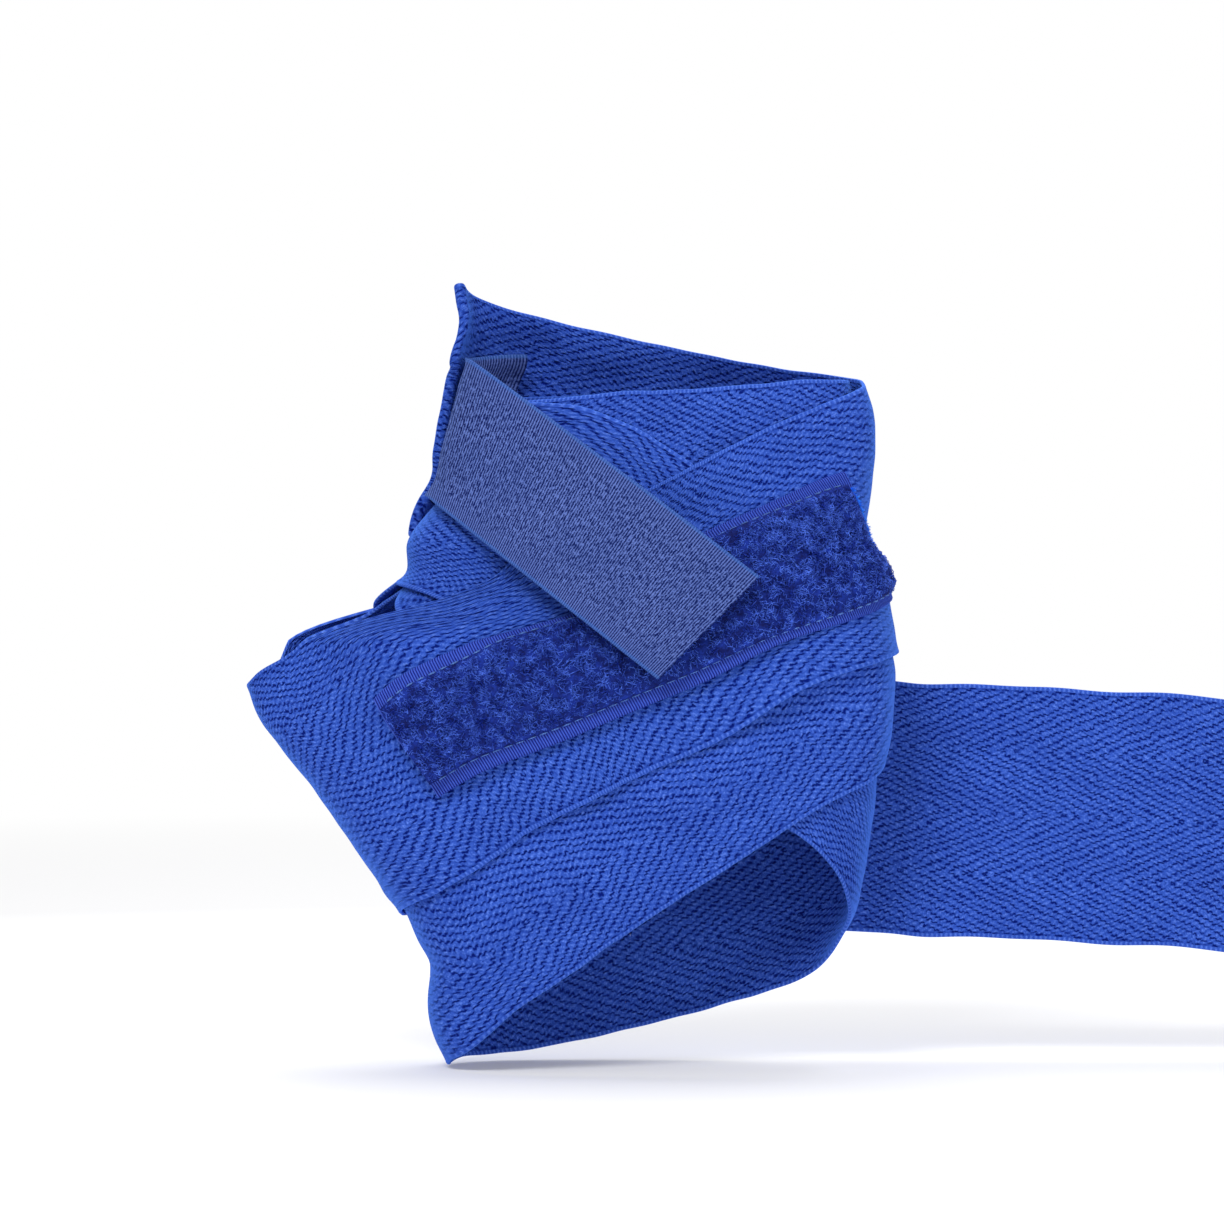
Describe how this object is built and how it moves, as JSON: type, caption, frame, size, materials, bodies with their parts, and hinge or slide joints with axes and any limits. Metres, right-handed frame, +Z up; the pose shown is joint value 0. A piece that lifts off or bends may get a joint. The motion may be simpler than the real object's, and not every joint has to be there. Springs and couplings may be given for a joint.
{
  "type": "hand wrap",
  "caption": "Herringbone cotton boxing hand wrap wound round a left hand, closed by a hook-and-loop tape, with a free tail and thumb loop.",
  "frame": {"origin": "on the palm-side face of the tail's flat root, at the middle of its width, where the tail leaves the wound turns", "axes": "+X along the tail, away from the hand's little-finger side; +Z up towards the fingertips; -Y out of the palm"},
  "size_m": [0.2722, 0.0599, 0.1533],
  "materials": {
    "webbing": "matte herringbone cotton",
    "hook_tape": "smooth woven nylon, slight sheen",
    "hooks": "fine stiff hooks",
    "loop_tape": "ribbed woven selvedge",
    "loop_pile": "matte brushed loops",
    "thread": "sewing thread",
    "thumb_tape": "matte narrow webbing"
  },
  "bodies": {
    "wrap": {"webbing_knuckle_turn": "webbing", "webbing_palm_cross": "webbing", "webbing_wrist_turn": "webbing", "webbing_thumb_turn": "webbing", "webbing_closing_end": "webbing", "webbing_end_hem": "webbing", "hem_stitching": "thread", "hook_tape_stitching": "thread", "loop_tape": "loop_tape", "loop_pile": "loop_pile", "loop_patch_stitching": "thread", "hook_tape_root": "hook_tape"},
    "hook_flap": {"hook_tape_inner_half": "hook_tape", "hook_bristles_inner_half": "hooks"},
    "hook_tip": {"hook_tape_tip_half": "hook_tape", "hook_bristles_tip_half": "hooks"},
    "tail_1": {"webbing_tail_1": "webbing"},
    "tail_2": {"webbing_tail_2": "webbing"},
    "tail_3": {"webbing_tail_3": "webbing", "thumb_loop_seam_back": "thumb_tape", "thumb_loop_seam_front": "thumb_tape", "thumb_loop_stitching": "thread"},
    "thumb_loop": {"thumb_loop": "thumb_tape"}
  },
  "joints": [
    {"name": "hook_flap_peel", "type": "hinge", "parent": "wrap", "child": "hook_flap", "pos_m": [-0.08176, -0.03368, 0.07053], "axis": [-0.3396, -0.1283, -0.9318], "range_deg": [0, 120]},
    {"name": "hook_tip_peel", "type": "hinge", "parent": "hook_flap", "child": "hook_tip", "pos_m": [-0.05999, -0.04772, 0.05388], "axis": [-0.5235, -0.1215, -0.8433], "range_deg": [0, 100]},
    {"name": "tail_fold_1", "type": "hinge", "parent": "wrap", "child": "tail_1", "pos_m": [0.004, 0.0004, -0.00021], "axis": [0, 0, 1], "range_deg": [-60, 60]},
    {"name": "tail_fold_2", "type": "hinge", "parent": "tail_1", "child": "tail_2", "pos_m": [0.037, 0.0004, -0.00192], "axis": [0, 0, 1], "range_deg": [-45, 45]},
    {"name": "tail_fold_3", "type": "hinge", "parent": "tail_2", "child": "tail_3", "pos_m": [0.07, 0.0004, -0.00364], "axis": [0, 0, 1], "range_deg": [-45, 45]},
    {"name": "thumb_loop_swing", "type": "hinge", "parent": "tail_3", "child": "thumb_loop", "pos_m": [0.103, 0.0004, -0.00536], "axis": [0, 0, 1], "range_deg": [-45, 45]}
  ]
}
